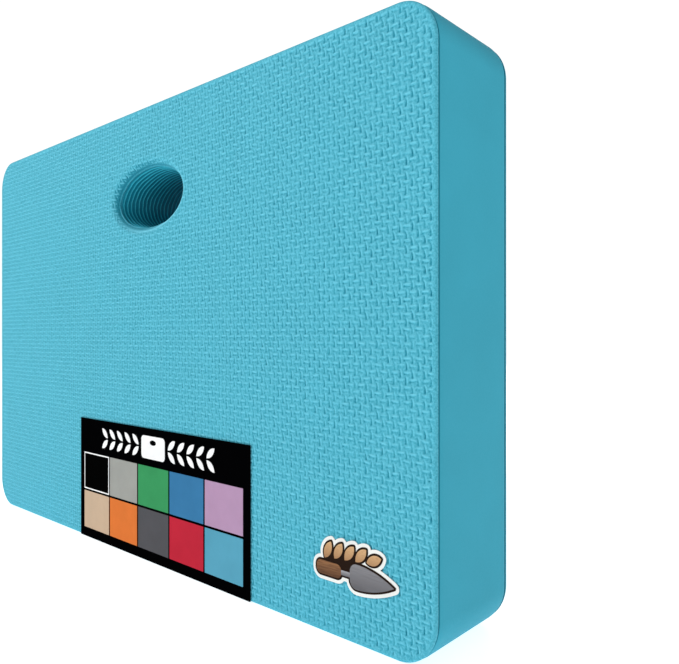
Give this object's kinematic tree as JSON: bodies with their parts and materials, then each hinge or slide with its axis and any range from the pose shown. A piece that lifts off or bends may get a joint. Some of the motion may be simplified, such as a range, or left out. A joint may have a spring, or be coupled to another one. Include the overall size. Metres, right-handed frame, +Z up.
{
  "type": "kneeling pad",
  "caption": "Thick closed-cell foam kneeling pad with rounded corners, an oval hand hole, embossed faces, a smooth edge, a sticker and a colour card.",
  "frame": {"origin": "middle of the long bottom edge face that the pad stands on", "axes": "+X along the width, +Y from the front face with the sticker to the back face, +Z up towards the hand hole"},
  "size_m": [0.4444, 0.058, 0.2794],
  "materials": {
    "foam_core": "closed-cell foam, matte, unskinned",
    "foam_embossed": "closed-cell foam with a fine basket-weave emboss, matte",
    "foam_edge": "closed-cell foam with a smooth skin, soft satin",
    "foam_hole": "closed-cell foam with fine ribs, matte",
    "adhesive": "pressure-sensitive adhesive film, translucent",
    "vinyl_white": "smooth gloss vinyl",
    "ink_dark": "printed ink under gloss",
    "ink_brown": "printed ink under gloss, shaded",
    "ink_tan": "printed ink under gloss, shaded",
    "ink_grey": "printed ink under gloss",
    "ink_steel": "printed ink under gloss",
    "card_black": "coated card, satin",
    "ink_white": "printed ink, satin",
    "colour_patch_black": "printed ink, satin",
    "colour_patch_grey": "printed ink, satin",
    "colour_patch_green": "printed ink, satin",
    "colour_patch_blue": "printed ink, satin",
    "colour_patch_lilac": "printed ink, satin",
    "colour_patch_beige": "printed ink, satin",
    "colour_patch_orange": "printed ink, satin",
    "colour_patch_charcoal": "printed ink, satin",
    "colour_patch_red": "printed ink, satin",
    "colour_patch_turquoise": "printed ink, satin"
  },
  "bodies": {
    "root": {"foam_core": "foam_core", "front_foam_skin": "foam_embossed", "back_foam_skin": "foam_embossed", "edge_foam_skin": "foam_edge", "hand_hole_lining": "foam_hole", "sticker_adhesive": "adhesive", "sticker_vinyl": "vinyl_white", "sticker_dark_outline": "ink_dark", "sticker_trowel_handle": "ink_brown", "sticker_trowel_neck": "ink_steel", "sticker_trowel_blade": "ink_grey", "sticker_leaves": "ink_tan", "card_adhesive": "adhesive", "card_sheet": "card_black", "card_header_mark": "ink_white", "card_keyline": "ink_white", "colour_patch_black": "colour_patch_black", "colour_patch_grey": "colour_patch_grey", "colour_patch_green": "colour_patch_green", "colour_patch_blue": "colour_patch_blue", "colour_patch_lilac": "colour_patch_lilac", "colour_patch_beige": "colour_patch_beige", "colour_patch_orange": "colour_patch_orange", "colour_patch_charcoal": "colour_patch_charcoal", "colour_patch_red": "colour_patch_red", "colour_patch_turquoise": "colour_patch_turquoise"}
  },
  "joints": []
}
